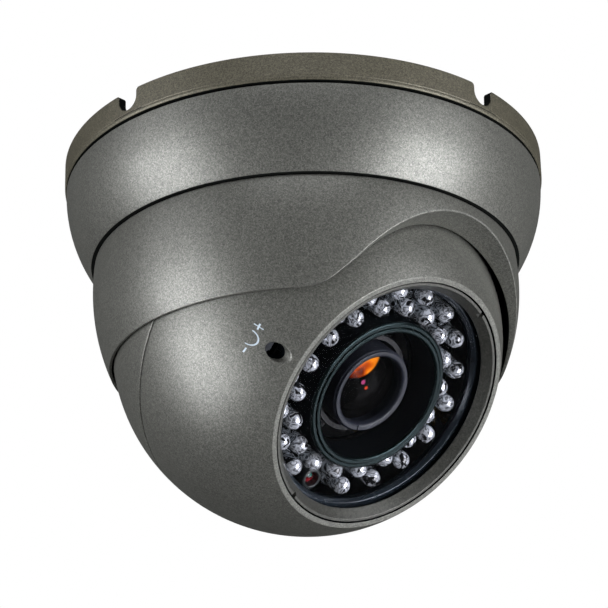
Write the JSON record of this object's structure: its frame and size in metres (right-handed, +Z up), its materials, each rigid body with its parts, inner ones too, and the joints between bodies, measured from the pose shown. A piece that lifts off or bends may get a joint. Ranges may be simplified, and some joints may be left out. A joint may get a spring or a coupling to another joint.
{
  "type": "dome cctv camera",
  "caption": "Ceiling-mounted eyeball dome camera: round base and trim ring, swivelling bowl, tilting ball with a round infrared window and a zoom lens.",
  "frame": {"origin": "centre of the plane where the base's rim meets the ceiling", "axes": "+Z up into the ceiling, so the camera hangs below the origin; -Y is the way the bowl's arch and the lens face at rest; +X is along the tilt axis"},
  "size_m": [0.1358, 0.1358, 0.1078],
  "materials": {
    "gunmetal": "satin gunmetal paint on die-cast aluminium",
    "black_plastic": "fine texture",
    "rubber": "matte",
    "glass": "polished",
    "lens_glass": "coated",
    "steel": "bright zinc",
    "brass": "turned",
    "circuit_board": "green solder mask",
    "lamp_board": "black solder mask under clear lamps",
    "nylon": "natural",
    "aluminium": "die cast"
  },
  "bodies": {
    "base": {"base_plate": "gunmetal", "cable_grommet": "rubber", "trim_ring": "gunmetal", "swivel_seal": "rubber"},
    "swivel": {"swivel_bowl": "gunmetal", "pivot_screw_left": "steel", "pivot_screw_right": "steel"},
    "ball": {"ball_front_shell": "gunmetal", "ball_rear_shell": "gunmetal", "shell_seal_upper": "rubber", "shell_seal_lower": "rubber", "pivot_bush_left": "nylon", "pivot_bush_right": "nylon", "ball_grommet": "rubber", "bezel_ring": "gunmetal", "window_glass": "glass", "window_gasket": "rubber", "light_shroud": "rubber", "lamp_board": "lamp_board", "light_sensor": "black_plastic", "chassis_plate": "aluminium", "lens_holder": "black_plastic", "sensor_board": "circuit_board", "image_sensor": "black_plastic", "infrared_filter": "lens_glass", "main_board": "circuit_board", "lamp_cable": "rubber", "lens_barrel": "black_plastic", "zoom_idler_pin": "steel", "focus_idler_pin": "steel", "chassis_screw_1": "steel", "chassis_screw_2": "steel", "chassis_screw_3": "steel", "chassis_screw_4": "steel", "lamp_standoff_1": "brass", "lamp_standoff_2": "brass", "lamp_standoff_3": "brass", "board_standoff_1": "brass", "board_standoff_2": "brass", "board_standoff_3": "brass", "board_standoff_4": "brass", "shell_post_left": "brass", "shell_post_right": "brass", "shell_screw_left": "steel", "shell_screw_right": "steel"},
    "zoom_group": {"zoom_cell": "black_plastic", "rear_element": "lens_glass"},
    "focus_group": {"focus_cell": "black_plastic", "front_element": "lens_glass"},
    "zoom_ring": {"zoom_ring": "black_plastic"},
    "zoom_idler": {"zoom_idler": "nylon"},
    "zoom_adjuster": {"zoom_adjuster": "brass"},
    "focus_ring": {"focus_ring": "black_plastic"},
    "focus_idler": {"focus_idler": "nylon"},
    "focus_adjuster": {"focus_adjuster": "brass"}
  },
  "joints": [
    {"name": "swivel_turn", "type": "hinge", "parent": "base", "child": "swivel", "pos_m": [0, 0, -0.0534], "axis": [0, 0, 1], "range_deg": [-175, 175]},
    {"name": "ball_tilt", "type": "hinge", "parent": "swivel", "child": "ball", "pos_m": [0, 0, -0.0534], "axis": [1, 0, 0], "range_deg": [-19, 46]},
    {"name": "zoom_ring_turn", "type": "hinge", "parent": "ball", "child": "zoom_ring", "pos_m": [0, -0.00575, -0.05896], "axis": [0, -0.7193, -0.6947], "range_deg": [-45, 45]},
    {"name": "zoom_idler_turn", "type": "hinge", "parent": "ball", "child": "zoom_idler", "pos_m": [-0.027, -0.00575, -0.05896], "axis": [0, -0.7193, -0.6947], "range_deg": [-91, 91]},
    {"name": "zoom_adjuster_turn", "type": "hinge", "parent": "ball", "child": "zoom_adjuster", "pos_m": [-0.0415, -0.00575, -0.05896], "axis": [0, -0.7193, -0.6947], "range_deg": [-148, 148]},
    {"name": "zoom_slide", "type": "slide", "parent": "ball", "child": "zoom_group", "axis": [0, -0.7193, -0.6947], "range_m": [-0.0014, 0.0014]},
    {"name": "focus_ring_turn", "type": "hinge", "parent": "ball", "child": "focus_ring", "pos_m": [0, -0.01007, -0.06313], "axis": [0, -0.7193, -0.6947], "range_deg": [-45, 45]},
    {"name": "focus_idler_turn", "type": "hinge", "parent": "ball", "child": "focus_idler", "pos_m": [0.027, -0.01007, -0.06313], "axis": [0, -0.7193, -0.6947], "range_deg": [-91, 91]},
    {"name": "focus_adjuster_turn", "type": "hinge", "parent": "ball", "child": "focus_adjuster", "pos_m": [0.0415, -0.01007, -0.06313], "axis": [0, -0.7193, -0.6947], "range_deg": [-148, 148]},
    {"name": "focus_slide", "type": "slide", "parent": "ball", "child": "focus_group", "axis": [0, -0.7193, -0.6947], "range_m": [-0.0014, 0.0014]}
  ],
  "couplings": [
    {"joint": "zoom_idler_turn", "follows": "zoom_ring_turn", "ratio": -2},
    {"joint": "zoom_adjuster_turn", "follows": "zoom_ring_turn", "ratio": 3.2727},
    {"joint": "zoom_slide", "follows": "zoom_ring_turn", "m_per_rad": 0.0015},
    {"joint": "focus_idler_turn", "follows": "focus_ring_turn", "ratio": -2},
    {"joint": "focus_adjuster_turn", "follows": "focus_ring_turn", "ratio": 3.2727},
    {"joint": "focus_slide", "follows": "focus_ring_turn", "m_per_rad": 0.0017}
  ]
}
